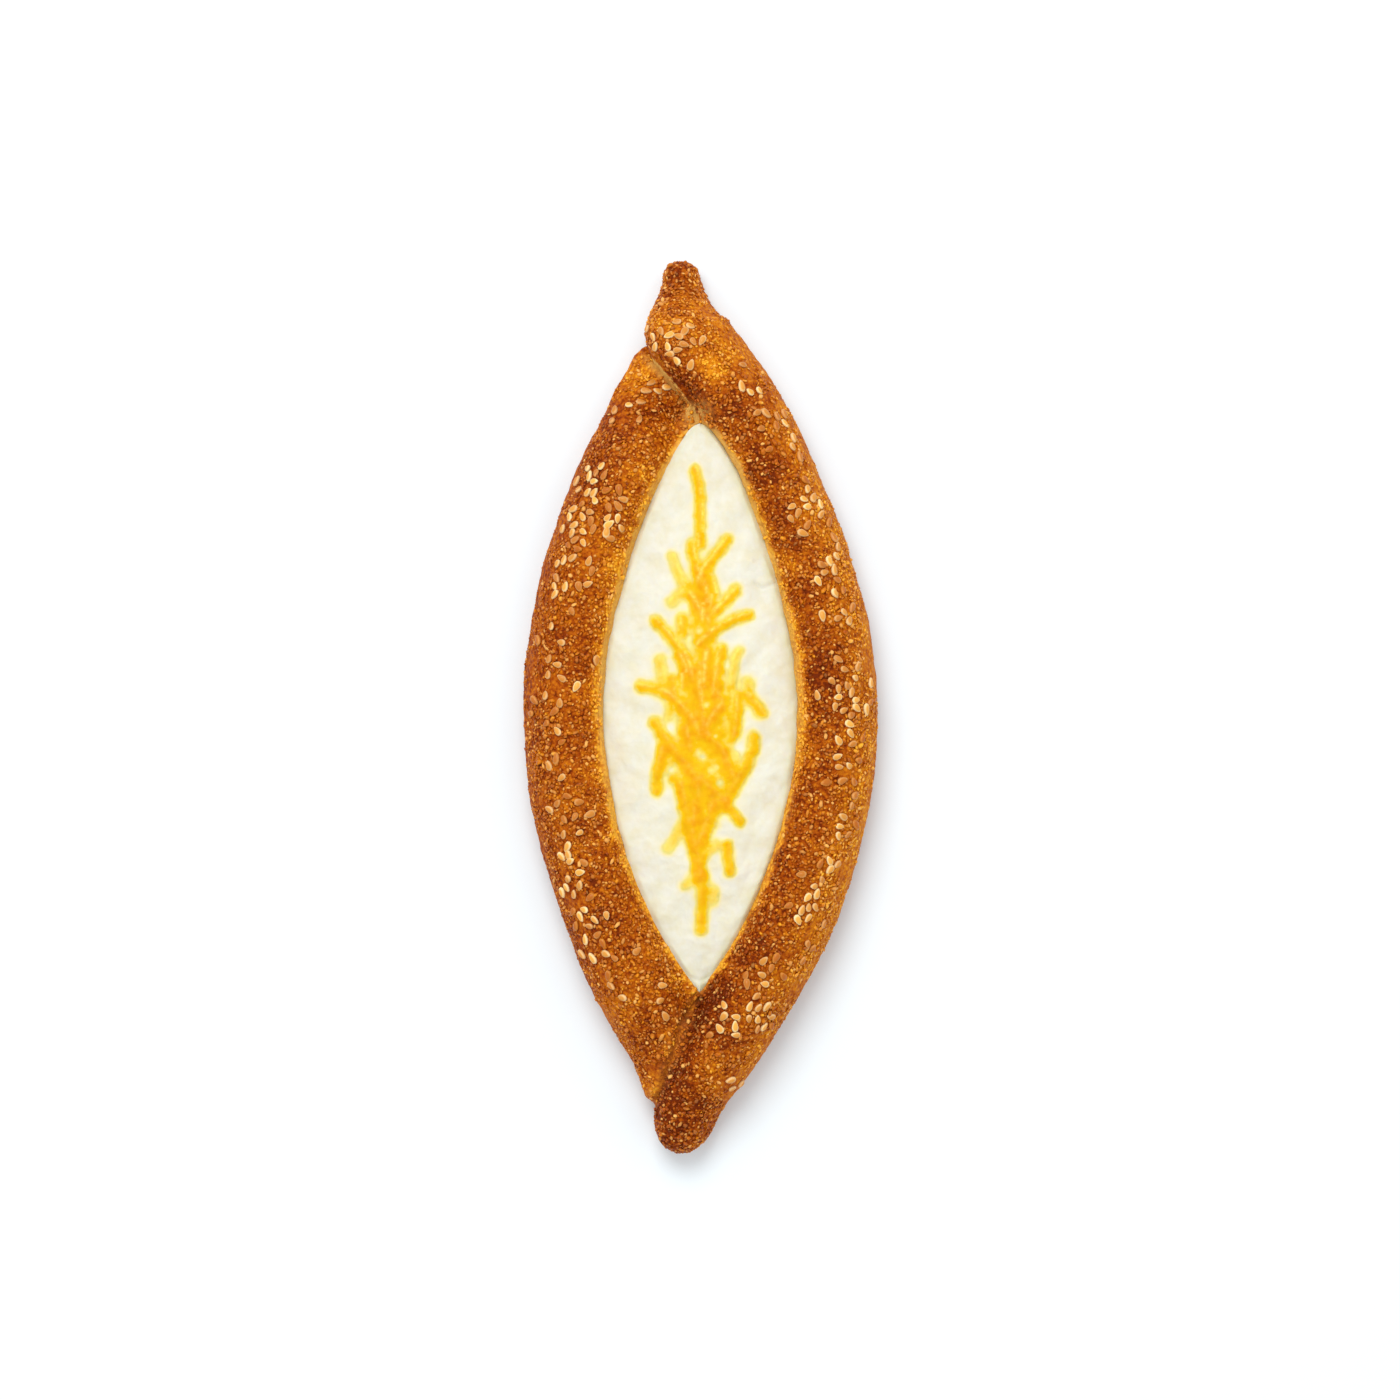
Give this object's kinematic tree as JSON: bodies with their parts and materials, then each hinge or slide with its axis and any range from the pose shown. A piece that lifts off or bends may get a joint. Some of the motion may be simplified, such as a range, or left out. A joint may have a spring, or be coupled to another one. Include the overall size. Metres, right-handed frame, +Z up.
{
  "type": "cheese fatayer",
  "caption": "Boat-shaped sesame bread of two rolled dough rims lapped at pinched ends, holding a soft white cheese filling topped with melted grated yellow cheese.",
  "frame": {"origin": "centre of the bounding box on the flat underside, where the bread rests", "axes": "+Z up from the surface it rests on, +Y along the boat towards the narrow knob, +X across it towards the roll that lies on top"},
  "size_m": [0.0986, 0.25, 0.0291],
  "materials": {
    "crust": "baked golden-brown sesame crust, darker along the crest of each roll",
    "white_cheese": "soft moist off-white cheese with a curdy surface",
    "grated_cheese": "melted grated yellow cheese, smooth and slightly glossy"
  },
  "bodies": {
    "root": {"dough": "crust", "white_cheese": "white_cheese", "grated_cheese": "grated_cheese"}
  },
  "joints": []
}
